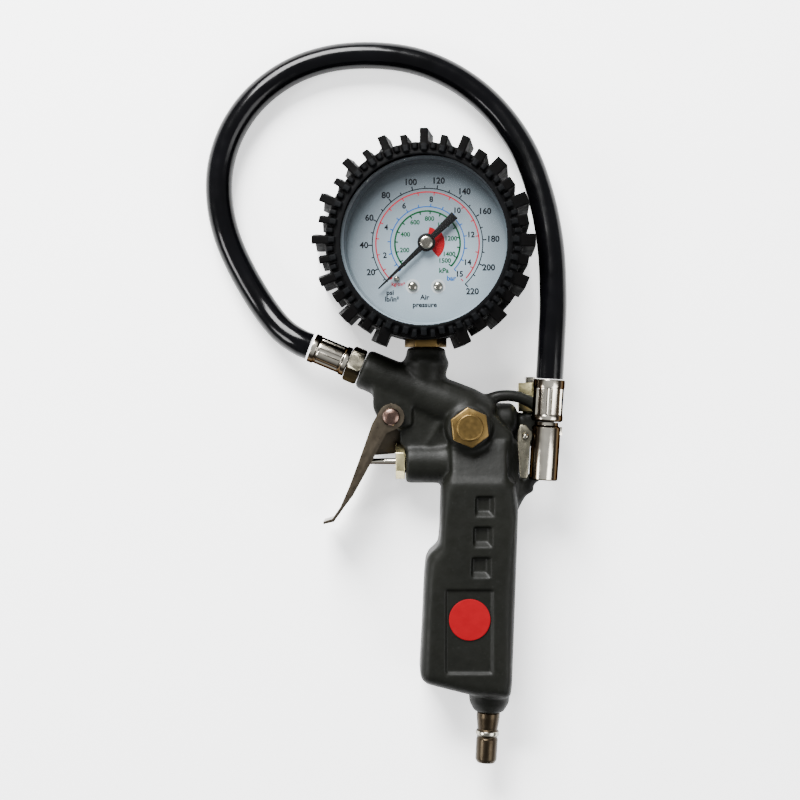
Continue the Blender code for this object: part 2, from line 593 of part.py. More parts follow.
def make_bleed():
    axis = in_plane(BLEED_X, 0.0, -90.0, BLEED_Z)
    body = add_object("bleed_body", prism(hexagon(9.2, 30.0), -BLEED_TOP, 61.1), "brass", frame=axis)
    combine(body, [tool(rod(3.0, 60.8, 64.4, 16), axis)], "UNION")
    combine(body, [tool(turned([(2.2, 48.0), (2.2, 57.0), (1.0, 57.2), (1.0, 66.0)], 14), axis)],
            "DIFFERENCE")
    stem = turned([(1.9, 48.2), (1.9, 52.4), (0.7, 52.6), (0.7, 65.2)], 12)
    add_object("bleed_button", stem, "steel", frame=axis)
    add_object("bleed_spring", coil(1.45, 0.22, 52.8, 56.9, 4), "steel", frame=axis)
    add_object("bleed_seal", ring_solid(1.1, 2.8, 64.8, 66.2, 14), "rubber", frame=axis)


def make_label():
    floor = HANDLE_DEPTH - LABEL_RECESS
    disc = rod(7.4, floor + GAP, floor + GAP + 0.3, 32, *LABEL_CENTRE)
    add_object("label_disc", disc, "label")


def main():
    clear_scene()
    make_casting()
    make_trigger()
    make_valve()
    make_plugs()
    make_boot()
    make_case()
    make_socket()
    make_dial()
    make_pointer()
    make_movement()
    make_hose_end()
    make_hose()
    make_chuck()
    make_bleed()
    make_label()


main()
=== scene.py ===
"""The looks of the tyre inflator with gauge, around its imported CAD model.  Positions are
in millimetres in the model's frame and are turned into metres when a piece is made."""
import json
import math

import bmesh
import bpy
from mathutils import Matrix, Vector


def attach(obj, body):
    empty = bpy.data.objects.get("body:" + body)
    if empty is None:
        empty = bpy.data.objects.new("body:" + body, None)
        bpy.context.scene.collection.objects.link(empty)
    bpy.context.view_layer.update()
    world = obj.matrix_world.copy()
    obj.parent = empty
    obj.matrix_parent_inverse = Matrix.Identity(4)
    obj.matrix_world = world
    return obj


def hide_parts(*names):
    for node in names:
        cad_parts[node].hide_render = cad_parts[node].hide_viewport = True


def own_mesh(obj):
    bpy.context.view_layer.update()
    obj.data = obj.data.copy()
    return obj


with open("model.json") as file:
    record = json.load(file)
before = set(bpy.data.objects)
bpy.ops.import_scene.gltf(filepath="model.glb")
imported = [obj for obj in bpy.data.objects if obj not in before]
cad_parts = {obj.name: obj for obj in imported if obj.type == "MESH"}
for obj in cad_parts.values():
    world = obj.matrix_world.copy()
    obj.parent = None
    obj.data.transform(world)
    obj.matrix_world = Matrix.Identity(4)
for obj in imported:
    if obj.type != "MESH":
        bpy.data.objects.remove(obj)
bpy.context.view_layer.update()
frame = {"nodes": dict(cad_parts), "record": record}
NODES = frame["nodes"]

MM = 0.001
MID = 13.0
CAMERA_SPOT = (-9.5, -56.8, 600.0)
CAMERA_LENS = 71.5
BARREL_END, BARREL_ANGLE = (-23.5, -45.0), -22.5
INLET, INLET_ANGLE = (23.8, -160.0), -93.0
CHUCK_TOP, CHUCK_END, CHUCK_Z = (44.9, -49.4), (42.6, -85.9), 21.2
BOOT_CENTRE = (-1.0, 0.5)
SIDE_PLUG = (15.7, -66.8)
PIVOT = (-12.7, -62.9)
CLIP_PIVOT = (36.1, -70.0)
VALVE_Y = -79.4
DIAL_TOP = 25.0
HOSE_DIAMETER = 10.0
HOSE_ROUTE = [
    (-42.8, -37.0, 13.0), (-46.6, -35.4, 12.9), (-53.4, -30.6, 10.6), (-60.8, -21.4, 7.2),
    (-68.6, -8.4, 5.4), (-74.2, 4.4, 5.2), (-77.0, 17.6, 5.2), (-76.6, 31.0, 5.2),
    (-72.2, 44.2, 5.2), (-63.8, 56.0, 5.2), (-51.4, 65.4, 5.2), (-36.6, 70.8, 5.2),
    (-19.6, 72.2, 5.2), (-2.6, 69.8, 5.2), (12.8, 62.8, 5.4), (26.0, 51.6, 6.6),
    (36.4, 36.2, 9.4), (42.6, 18.4, 13.2), (45.8, -0.6, 17.2), (46.4, -19.8, 20.2),
    (45.7, -36.0, 21.2), (45.0, -49.1, 21.2)]


# ---- materials --------------------------------------------------------------------------
class Nodes:
    """A small helper that builds a Principled material out of noise layers."""

    def __init__(self, name, colour, roughness, metallic=0.0, **sockets):
        self.material = bpy.data.materials.new(name)
        self.material.use_nodes = True
        self.tree = self.material.node_tree
        self.shader = self.tree.nodes["Principled BSDF"]
        self.shader.inputs["Base Color"].default_value = (*colour, 1.0)
        self.shader.inputs["Roughness"].default_value = roughness
        self.shader.inputs["Metallic"].default_value = metallic
        for socket, value in sockets.items():
            self.shader.inputs[socket.replace("_", " ")].default_value = value
        self.place = self.add("ShaderNodeTexCoord").outputs["Object"]
        self.bumped = None

    def add(self, kind, **values):
        node = self.tree.nodes.new(kind)
        for key, value in values.items():
            setattr(node, key, value)
        return node

    def link(self, start, end):
        self.tree.links.new(start, end)

    def stretched(self, scale):
        node = self.add("ShaderNodeMapping")
        node.inputs["Scale"].default_value = scale
        self.link(self.place, node.inputs["Vector"])
        return node.outputs["Vector"]

    def noise(self, scale, detail=3.0, place=None, roughness=0.55):
        node = self.add("ShaderNodeTexNoise")
        node.inputs["Scale"].default_value = scale
        node.inputs["Detail"].default_value = detail
        node.inputs["Roughness"].default_value = roughness
        self.link(place or self.place, node.inputs["Vector"])
        return node.outputs["Fac"]

    def ranged(self, value, low, high, start=0.3, end=0.7):
        node = self.add("ShaderNodeMapRange")
        node.inputs["From Min"].default_value = start
        node.inputs["From Max"].default_value = end
        node.inputs["To Min"].default_value = low
        node.inputs["To Max"].default_value = high
        self.link(value, node.inputs["Value"])
        return node.outputs["Result"]

    def mixed(self, factor, first, second):
        node = self.add("ShaderNodeMix", data_type="RGBA")
        for index, value in ((6, first), (7, second)):
            if isinstance(value, tuple):
                node.inputs[index].default_value = (*value, 1.0)
            else:
                self.link(value, node.inputs[index])
        self.link(factor, node.inputs[0])
        return node.outputs[2]

    def paint(self, colour_output):
        self.link(colour_output, self.shader.inputs["Base Color"])

    def rough(self, value_output):
        self.link(value_output, self.shader.inputs["Roughness"])

    def bump(self, value, distance, strength=1.0):
        node = self.add("ShaderNodeBump")
        node.inputs["Strength"].default_value = strength
        node.inputs["Distance"].default_value = distance
        self.link(value, node.inputs["Height"])
        if self.bumped is not None:
            self.link(self.bumped, node.inputs["Normal"])
        self.bumped = node.outputs["Normal"]
        self.link(self.bumped, self.shader.inputs["Normal"])


def blotched(name, colour, other, roughness, metallic=0.0, scale=60.0, **sockets):
    """A material whose colour drifts a little between two tones."""
    made = Nodes(name, colour, roughness, metallic, **sockets)
    made.paint(made.mixed(made.ranged(made.noise(scale), 0.0, 1.0), colour, other))
    return made


def casting_paint():
    made = Nodes("casting_paint", (0.0028, 0.0030, 0.0023), 0.6, 0.0, Specular_IOR_Level=0.11)
    worn = made.ranged(made.noise(900.0, 2.0), 0.0, 1.0, 0.62, 0.78)
    base = made.mixed(made.ranged(made.noise(55.0), 0.0, 1.0), (0.0026, 0.0028, 0.0020),
                      (0.0038, 0.0040, 0.0029))
    made.paint(made.mixed(worn, base, (0.0060, 0.0063, 0.0053)))
    made.rough(made.ranged(made.noise(300.0), 0.42, 0.54))
    made.bump(made.noise(2600.0, 2.0), 0.00006, 0.5)
    made.bump(made.noise(420.0, 2.0), 0.00025, 0.35)
    return made.material


def boot_rubber():
    """Moulded black rubber, painted lighter on its highest faces: a painted highlight on the lit tops of
    the lugs and the lip, made patchy with noise.
    """
    made = Nodes("boot_rubber", (0.006, 0.006, 0.007), 0.6, 0.0, Specular_IOR_Level=0.035)
    height = made.add("ShaderNodeSeparateXYZ")
    made.link(made.place, height.inputs[0])
    # painted highlight: the highest faces, the lug tops and the lip, are painted lighter, as where light
    # falls on them; noise makes it patchy
    top = made.ranged(height.outputs["Z"], 0.0, 1.0, 0.0322, 0.0336)
    patchiness = made.ranged(made.noise(700.0), 0.6, 1.0)
    painted_lit_tops = made.add("ShaderNodeMath", operation="MULTIPLY")
    made.link(top, painted_lit_tops.inputs[0])
    made.link(patchiness, painted_lit_tops.inputs[1])
    made.paint(made.mixed(painted_lit_tops.outputs[0], (0.0005, 0.0004, 0.0004), (0.0028, 0.0031, 0.0035)))
    made.rough(made.ranged(made.noise(500.0), 0.5, 0.72))
    made.bump(made.noise(3000.0, 2.0), 0.00005, 0.5)
    return made.material


def hose_skin():
    made = Nodes("hose_skin", (0.002, 0.002, 0.0022), 0.2, 0.0, Specular_IOR_Level=0.14)
    made.paint(made.mixed(made.ranged(made.noise(40.0), 0.0, 1.0), (0.0005, 0.0005, 0.0006),
                          (0.0012, 0.0012, 0.0016)))
    made.rough(made.ranged(made.noise(160.0), 0.12, 0.21))
    made.bump(made.noise(110.0, 1.0), 0.0004, 0.35)
    made.bump(made.noise(1800.0, 2.0), 0.00003, 0.3)
    return made.material


def plated(name, colour, other, low, high, wobble=0.25, painted_dark_sides=None):
    """Bright plating; its sides can be painted darker, as painted shade for the dark surroundings they
    reflect.
    """
    made = blotched(name, colour, other, low, 1.0, 70.0)
    # painted shade: when a sides colour is given, faces turned away from straight up take it, a painted
    # reflection of dark surroundings; the edges get a dark specular tint too
    if painted_dark_sides:
        facing = made.add("ShaderNodeSeparateXYZ")
        made.link(made.add("ShaderNodeTexCoord").outputs["Normal"], facing.inputs[0])
        top = made.mixed(made.ranged(made.noise(70.0), 0.0, 1.0), colour, other)
        made.paint(made.mixed(made.ranged(facing.outputs["Z"], 0.0, 1.0, 0.84, 0.995), painted_dark_sides, top))
        made.shader.inputs["Specular Tint"].default_value = (0.16, 0.13, 0.10, 1.0)
    made.rough(made.ranged(made.noise(420.0), low, high))
    made.bump(made.noise(140.0, 1.0), 0.0003, wobble * 0.5)
    made.bump(made.noise(2200.0, 2.0), 0.00002, 0.3)
    return made.material


def machined(name, colour, other, low, high):
    """Bar stock off a lathe: fine rings and a few dull patches."""
    made = blotched(name, colour, other, low, 1.0, 120.0)
    made.rough(made.ranged(made.noise(600.0), low, high))
    fine = made.noise(900.0, 2.0, made.stretched((0.4, 6.0, 0.4)))
    made.bump(fine, 0.00003, 0.4)
    return made.material


def printed(name, colour):
    made = blotched(name, colour, tuple(min(1.0, c * 1.12 + 0.0005) for c in colour), 0.55, 0.0, 300.0,
                    Specular_IOR_Level=0.05)
    made.bump(made.noise(2500.0), 0.00001, 0.3)
    return made.material


def dial_enamel():
    """Pale blue-grey paint with a painted shadow: darker the farther from a point low on the dial, most at
    the top and the sides, where the boot's lip shades it.
    """
    made = Nodes("dial_enamel", (0.165, 0.205, 0.235), 0.5, 0.0, Specular_IOR_Level=0.2)
    # painted shadow: the colour darkens with distance from a point 3 mm right of and 16 mm below the hub
    shifted = made.add("ShaderNodeVectorMath", operation="SUBTRACT")
    shifted.inputs[1].default_value = (0.003, -0.016, 0.0)
    made.link(made.stretched((1.0, 1.0, 0.0)), shifted.inputs[0])
    reach = made.add("ShaderNodeVectorMath", operation="LENGTH")
    made.link(shifted.outputs[0], reach.inputs[0])
    shade = made.ranged(reach.outputs["Value"], 0.0, 0.93, 0.015, 0.045)
    base = made.mixed(made.ranged(made.noise(40.0), 0.0, 1.0), (0.160, 0.203, 0.232),
                      (0.168, 0.213, 0.243))
    made.paint(made.mixed(shade, base, (0.012, 0.014, 0.016)))
    made.rough(made.ranged(made.noise(240.0), 0.42, 0.55))
    made.bump(made.noise(1500.0), 0.00001, 0.2)
    return made.material


def lens_plastic():
    made = Nodes("lens_plastic", (0.02, 0.021, 0.022), 0.04, IOR=1.46)
    made.shader.inputs["Alpha"].default_value = 0.04
    made.rough(made.ranged(made.noise(90.0), 0.03, 0.09))
    return made.material


def filter_bronze():
    made = blotched("filter_bronze", (0.5, 0.36, 0.2), (0.3, 0.2, 0.11), 0.8, 0.7, 2600.0)
    made.bump(made.noise(3200.0), 0.0001, 0.9)
    return made.material


FINISH = {
    "casting": casting_paint(),
    "nickel_plate": plated("dark_nickel", (0.082, 0.066, 0.047), (0.097, 0.081, 0.060), 0.26, 0.36, 0.1),
    "steel": plated("zinc_plate", (0.30, 0.285, 0.24), (0.26, 0.245, 0.20), 0.16, 0.28, 0.1),
    # the chrome's last colour is its painted dark sides, a painted reflection of dark surroundings
    "chrome": plated("bright_chrome", (0.86, 0.80, 0.68), (0.78, 0.72, 0.60), 0.13, 0.21, 0.1,
                     (0.050, 0.038, 0.026)),
    "brass": machined("brass", (0.150, 0.098, 0.034), (0.118, 0.076, 0.026), 0.30, 0.42),
    "boot_rubber": boot_rubber(),
    "seal_rubber": printed("seal_rubber", (0.02, 0.02, 0.02)),
    "hose_rubber": hose_skin(),
    "case_plastic": printed("case_plastic", (0.02, 0.02, 0.022)),
    "clear_lens": lens_plastic(),
    "dial_print": dial_enamel(),
    "pointer_paint": printed("pointer_paint", (0.002, 0.002, 0.002)),
    "label_red": printed("label_red", (0.145, 0.0008, 0.0034)),
    "filter": filter_bronze()}
# the clip steel's last colour is its painted dark sides, a painted reflection of dark surroundings
CLIP_STEEL = plated("clip_steel", (0.27, 0.25, 0.19), (0.17, 0.155, 0.115), 0.22, 0.34, 0.1,
                    (0.02, 0.016, 0.010))
RIVET = plated("rivet_steel", (0.150, 0.098, 0.080), (0.105, 0.066, 0.053), 0.22, 0.34, 0.1)
DARK_BRONZE = plated("dark_bronze", (0.026, 0.019, 0.012), (0.036, 0.028, 0.018), 0.30, 0.42, 0.1)
PALE_BRASS = machined("pale_brass", (0.58, 0.52, 0.29), (0.48, 0.42, 0.22), 0.24, 0.36)
SLOTS = {part["node"]: part["material_slot"] for part in frame["record"]["subparts"]}
for node_name, node in NODES.items():
    node.data.materials.clear()
    node.data.materials.append(FINISH[SLOTS[node_name]])


# ---- making pieces ----------------------------------------------------------------------
def add_piece(name, shape, replaced=(), body="body", slot=None, look=None, sharp=35.0, scale=MM):
    """Makes a piece from a shape in millimetres, rides it and gives it a slot's finish."""
    bmesh.ops.scale(shape, vec=(scale, scale, scale), verts=shape.verts)
    bmesh.ops.recalc_face_normals(shape, faces=shape.faces)
    mesh = bpy.data.meshes.new(name)
    shape.to_mesh(mesh)
    shape.free()
    mesh.shade_smooth()
    mesh.set_sharp_from_angle(angle=math.radians(sharp))
    piece = bpy.data.objects.new(name, mesh)
    bpy.context.scene.collection.objects.link(piece)
    replaced = [replaced] if isinstance(replaced, str) else list(replaced)
    slot = slot or SLOTS[replaced[0]]
    mesh.materials.append(look or FINISH[slot])
    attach(piece, body)
    if replaced:
        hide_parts(*replaced)
    return piece


def baked(piece):
    """Applies a piece's modifiers."""
    bpy.context.view_layer.update()
    done = piece.evaluated_get(bpy.context.evaluated_depsgraph_get())
    mesh = bpy.data.meshes.new_from_object(done)
    piece.modifiers.clear()
    old = piece.data
    piece.data = mesh
    bpy.data.meshes.remove(old)
    return piece


def bevelled(piece, width, segments=2, angle=35.0):
    step = piece.modifiers.new("edge", "BEVEL")
    step.width = width * MM
    step.segments = segments
    step.limit_method = "ANGLE"
    step.angle_limit = math.radians(angle)
    step.harden_normals = False
    baked(piece)
    piece.data.shade_smooth()
    piece.data.set_sharp_from_angle(angle=math.radians(50.0))
    return piece


def aimed(x, y, z, direction):
    turn = Vector(direction).normalized().to_track_quat("Z", "Y").to_matrix().to_4x4()
    return Matrix.Translation((x, y, z)) @ turn


def in_plane(x, y, degrees, z=MID):
    angle = math.radians(degrees)
    return aimed(x, y, z, (math.cos(angle), math.sin(angle), 0.0))


def circle(x, y, radius, steps=24, start=0.0):
    turn = [start + 2 * math.pi * i / steps for i in range(steps)]
    return [(x + radius * math.cos(a), y + radius * math.sin(a)) for a in turn]


def arc(x, y, radius, first, last, steps):
    turn = [math.radians(first + (last - first) * i / steps) for i in range(steps + 1)]
    return [(x + radius * math.cos(a), y + radius * math.sin(a)) for a in turn]


def layers(rings, shape=None, loop=False):
    shape = shape or bmesh.new()
    made = [[shape.verts.new(point) for point in ring] for ring in rings]
    count = len(made[0])
    pairs = list(zip(made, made[1:]))
    if loop:
        pairs.append((made[-1], made[0]))
    for low, high in pairs:
        for i in range(count):
            j = (i + 1) % count
            shape.faces.new((low[i], low[j], high[j], high[i]))
    if not loop:
        shape.faces.new(list(reversed(made[0])))
        shape.faces.new(made[-1])
    return shape


def prism(outline, z0, z1, shape=None):
    return layers([[(x, y, z) for x, y in outline] for z in (z0, z1)], shape)


def softened(profile, radius, steps=3, closed=True):
    """Rounds the corners of a profile."""
    done = []
    count = len(profile)
    for i, point in enumerate(profile):
        here = Vector(point)
        if not closed and i in (0, count - 1):
            done.append(tuple(here))
            continue
        before, after = Vector(profile[i - 1]) - here, Vector(profile[(i + 1) % count]) - here
        reach = min(radius, before.length * 0.45, after.length * 0.45)
        start, end = here + before.normalized() * reach, here + after.normalized() * reach
        for k in range(steps + 1):
            t = k / steps
            done.append(tuple(start * (1 - t) ** 2 + here * 2 * t * (1 - t) + end * t * t))
    return done


def turned(profile, place, steps=72, closed=True, radius=0.25, flutes=None):
    """A turned piece; flutes=(count, depth, low, high) presses grooves into its outside."""
    rings = []
    for reach, height in softened(profile, radius, closed=closed):
        ring = []
        for x, y in circle(0, 0, 1.0, steps):
            r = reach
            if flutes and flutes[2] < height < flutes[3] and reach > 3.0:
                r -= flutes[1] * max(0.0, math.cos(math.atan2(y, x) * flutes[0])) ** 0.7
            ring.append((x * r, y * r, height))
        rings.append(ring)
    shape = layers(rings, loop=closed)
    shape.transform(place)
    return shape


def hex_nut(across_flats, low, high, place, degrees, bore, chamfer=0.9, steps=72):
    """A hexagon with both ends turned off at 30 degrees, and a bore through it."""
    corner = across_flats / math.sqrt(3)
    rings = []
    near = across_flats / 2 + 0.25 * (corner - across_flats / 2)
    levels = [(low, near), (low + chamfer * 0.6, corner), (high - chamfer * 0.6, corner), (high, near)]
    for height, limit in levels:
        ring = []
        for i in range(steps):
            angle = 2 * math.pi * i / steps
            local = (math.degrees(angle) - degrees) % 60.0 - 30.0
            reach = min(limit, across_flats / 2 / math.cos(math.radians(local)))
            ring.append((reach * math.cos(angle), reach * math.sin(angle), height))
        rings.append(ring)
    for height in (high, low):
        rings.append([(x, y, height) for x, y in circle(0, 0, bore, steps)])
    shape = layers(rings, loop=True)
    shape.transform(place)
    return shape


def refined(node, width, segments=2, look=None, angle=35.0):
    """A copy of a CAD node with its edges rounded."""
    shape = bmesh.new()
    shape.from_mesh(NODES[node].data)
    bmesh.ops.remove_doubles(shape, verts=shape.verts, dist=0.000002)
    bmesh.ops.dissolve_limit(shape, angle_limit=math.radians(0.5), verts=shape.verts,
                             edges=shape.edges)
    body = next(b for b, members in frame["record"]["behaviour"]["bodies"].items() if node in members)
    piece = add_piece(node + "_detail", shape, node, body, look=look, scale=1.0)
    return bevelled(piece, width, segments, angle)


# ---- camera, floor and light ------------------------------------------------------------
def make_studio():
    camera = bpy.data.objects.new("camera", bpy.data.cameras.new("camera"))
    camera.data.lens = CAMERA_LENS
    camera.data.clip_start, camera.data.clip_end = 0.01, 20.0
    camera.location = Vector(CAMERA_SPOT) * MM
    bpy.context.scene.collection.objects.link(camera)
    bpy.context.scene.camera = camera
    floor = bmesh.new()
    bmesh.ops.create_grid(floor, x_segments=2, y_segments=2, size=3.0)
    mesh = bpy.data.meshes.new("floor")
    floor.to_mesh(mesh)
    floor.free()
    ground = bpy.data.objects.new("floor", mesh)
    ground.location = (0.0, 0.0, -0.0004)
    mesh.materials.append(Nodes("floor_white", (0.92, 0.92, 0.92), 0.9, 0.0, Emission_Strength=0.9,
                                Emission_Color=(1.0, 1.0, 1.0, 1.0)).material)
    bpy.context.scene.collection.objects.link(ground)
    world = bpy.data.worlds.new("studio")
    bpy.context.scene.world = world
    world.use_nodes = True
    world.node_tree.nodes["Background"].inputs["Color"].default_value = (0.93, 0.96, 1.0, 1.0)
    world.node_tree.nodes["Background"].inputs["Strength"].default_value = 0.50
    add_light("key", (-0.30, 0.85, 0.75), 0.6, 80.0)
    add_light("fill", (0.75, -0.35, 0.80), 0.6, 9.0)
    add_light("strip", (-0.80, -0.25, 0.60), 0.3, 9.0)


def add_light(name, spot, size, power):
    light = bpy.data.lights.new(name, "AREA")
    light.size = size
    light.energy = power
    lamp = bpy.data.objects.new(name, light)
    lamp.location = spot
    aim = Vector((-0.005, -0.05, 0.0)) - Vector(spot)
    lamp.rotation_euler = aim.to_track_quat("-Z", "Y").to_euler()
    bpy.context.scene.collection.objects.link(lamp)


# ---- hose -------------------------------------------------------------------------------
def smooth_route(route, spacing):
    """Points at an even spacing along a smooth curve through the route's points."""
    fine = []
    for i in range(len(route) - 1):
        a, b = Vector(route[max(i - 1, 0)]), Vector(route[i])
        c, d = Vector(route[i + 1]), Vector(route[min(i + 2, len(route) - 1)])
        for k in range(10):
            t = k / 10
            fine.append(0.5 * (2 * b + (c - a) * t + (2 * a - 5 * b + 4 * c - d) * t * t
                               + (3 * b - a - 3 * c + d) * t ** 3))
    fine.append(Vector(route[-1]))
    total = sum((q - p).length for p, q in zip(fine, fine[1:]))
    count = max(2, round(total / spacing))
    kept, walked, goal = [fine[0]], 0.0, total / count
    for p, q in zip(fine, fine[1:]):
        step = (q - p).length
        while walked + step >= goal and len(kept) < count:
            kept.append(p.lerp(q, (goal - walked) / step))
            goal += total / count
        walked += step
    kept.append(fine[-1])
    return kept, total


def make_hose():
    points, length = smooth_route(HOSE_ROUTE, 3.0)
    curve = bpy.data.curves.new("hose_tube", "CURVE")
    curve.dimensions = "3D"
    curve.bevel_depth = HOSE_DIAMETER / 2 * MM
    curve.bevel_resolution = 8
    curve.use_fill_caps = True
    spline = curve.splines.new("POLY")
    spline.points.add(len(points) - 1)
    for spot, point in zip(spline.points, points):
        spot.co = (*(point * MM), 1.0)
    spline.use_smooth = True
    curve.materials.append(FINISH["hose_rubber"])
    piece = bpy.data.objects.new("hose_tube", curve)
    bpy.context.scene.collection.objects.link(piece)
    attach(piece, "body")
    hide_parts("hose")
    return piece, length


def make_hose_fittings():
    place = in_plane(*BARREL_END, BARREL_ANGLE + 180.0)
    add_piece("hose_nut_detail", hex_nut(12.0, 0.3, 5.4, place, 15.0, 1.8), "hose_nut",
              look=CLIP_STEEL)
    ferrule = [(5.5, 5.7), (5.5, 7.4), (5.05, 7.9), (5.05, 8.3), (5.2, 8.5), (5.2, 17.0),
               (5.05, 17.3), (5.05, 17.8), (5.45, 18.1), (5.45, 20.0), (4.6, 20.0), (2.0, 19.8),
               (2.0, 5.7)]
    shape = turned(ferrule, place, 96, radius=0.25, flutes=(8, 0.45, 8.45, 17.1))
    return add_piece("ferrule_inlet_detail", shape, "ferrule_inlet")


def chuck_place():
    top, end = Vector((*CHUCK_TOP, CHUCK_Z)), Vector((*CHUCK_END, CHUCK_Z))
    return aimed(*top, end - top), (end - top).length


def make_chuck():
    place, length = chuck_place()
    collar = [(5.75, 0.0), (5.75, 2.6), (5.55, 3.4), (5.55, 12.8), (5.75, 13.4), (5.75, 14.6),
              (5.2, 15.2), (2.0, 15.2), (2.0, 0.0)]
    shape = turned(collar, place, 96, radius=0.3, flutes=(8, 0.55, 3.2, 12.9))
    ferrule = add_piece("ferrule_chuck_detail", shape, "ferrule_chuck")
    body = refined("chuck_body", 0.22)
    rivet = [(0.6, 19.4), (0.6, 22.7), (1.15, 22.75), (1.1, 23.3), (0.6, 23.7), (0.05, 23.8)]
    pin = turned(rivet, Matrix.Translation((*CLIP_PIVOT, 0.0)), 32, closed=False, radius=0.12)
    return [ferrule, body, add_piece("chuck_pin_detail", pin, "chuck_pin")]


def make_clip_lever():
    """The clip-on lever: a flat strip with a raised rib down its middle, drilled for its pin."""
    blade = [(34.4, -85.2), (36.6, -85.4), (37.1, -84.4), (37.8, -74.6), (38.0, -71.6),
             (39.6, -71.2), (39.6, -69.0), (37.8, -67.6), (36.4, -65.8), (34.2, -65.8), (33.3, -68.0),
             (33.3, -72.0), (34.1, -84.4)]
    shape = layers([[(x, y, 20.2) for x, y in blade], [(x, y, 22.1) for x, y in blade]])
    rib = [(35.2, -84.2), (36.0, -84.2), (35.9, -73.4), (34.9, -73.4)]
    crest = [(35.35, -84.2), (35.85, -84.2), (35.75, -73.4), (35.05, -73.4)]
    layers([[(x, y, 21.6) for x, y in rib], [(x, y, 22.7) for x, y in crest]], shape)
    lever = add_piece("chuck_lever_detail", shape, "chuck_lever", "chuck_clip", look=CLIP_STEEL)
    drill = rod(0.9, 18.0, 24.0, Matrix.Translation((*CLIP_PIVOT, 0.0)), 32, 0.02)
    hole = add_mesh_object("hole_cutter", drill)
    cut = lever.modifiers.new("hole", "BOOLEAN")
    cut.operation = "DIFFERENCE"
    cut.object = hole
    baked(lever)
    bpy.data.objects.remove(hole)
    bevelled(lever, 0.2, 2, 35.0)


# ---- casting ----------------------------------------------------------------------------
def rounded_prism(outline, z0, z1, radius, steps=4):
    """A prism with rounded edges round both faces."""
    middle = sum((Vector(p) for p in outline), Vector((0, 0))) / len(outline)
    rings = []
    for low, sign in ((z0, 1), (z1, -1)):
        order = range(steps + 1) if sign > 0 else reversed(range(steps + 1))
        for k in order:
            turn = math.pi / 2 * k / steps
            inward, up = radius * (1 - math.sin(turn)), radius * (1 - math.cos(turn))
            ring = []
            for i, point in enumerate(outline):
                here = Vector(point)
                before = (Vector(outline[i - 1]) - here).normalized()
                after = (Vector(outline[(i + 1) % len(outline)]) - here).normalized()
                lean = (before + after)
                if lean.length < 0.15:
                    lean = middle - here
                lean.normalize()
                if lean.dot(middle - here) < 0 and radius > 3.0:
                    lean = -lean * 0.6
                ring.append((*(here + lean * inward), low + sign * up))
            rings.append(ring)
    return layers(rings)


def joined_mesh(shapes):
    whole = bmesh.new()
    for shape in shapes:
        mesh = bpy.data.meshes.new("part")
        shape.to_mesh(mesh)
        shape.free()
        whole.from_mesh(mesh)
        bpy.data.meshes.remove(mesh)
    return whole


def swept(points, radii, steps=16):
    rings = []
    for i, point in enumerate(points):
        before, after = Vector(points[max(i - 1, 0)]), Vector(points[min(i + 1, len(points) - 1)])
        along = (after - before).normalized()
        side = along.cross(Vector((0, 0, 1))).normalized()
        up = side.cross(along)
        rings.append([tuple(Vector(point) + side * (x * radii[i]) + up * (y * radii[i]))
                      for x, y in circle(0, 0, 1.0, steps)])
    return layers(rings)


def rod(radius, start, end, place, steps=48, ease=0.6):
    profile = [(0.05, start), (radius - ease, start), (radius, start + ease), (radius, end - ease),
               (radius - ease, end), (0.05, end)]
    return turned(profile, place, steps, closed=False, radius=0.2)


def wedge_pocket(x0, x1, y0, y1, depth):
    """A recess in the handle's upper face whose lower wall slopes up to the face."""
    top, over = 26.0, 2.0
    run = depth * 1.1 + 0.1
    foot, edge = y0 + 0.2 + run, y0 + 0.2 - run * over / depth
    rings = [[(x0 + 0.2, foot, top - depth), (x1 - 1.6, foot, top - depth),
              (x1 - 1.6, y1 - 0.2, top - depth), (x0 + 0.3, y1 - 0.2, top - depth)],
             [(x0 - 0.2, edge, top + over), (x1 + 2.4, edge, top + over),
              (x1 + 2.4, y1, top + over), (x0, y1, top + over)]]
    return layers(rings)


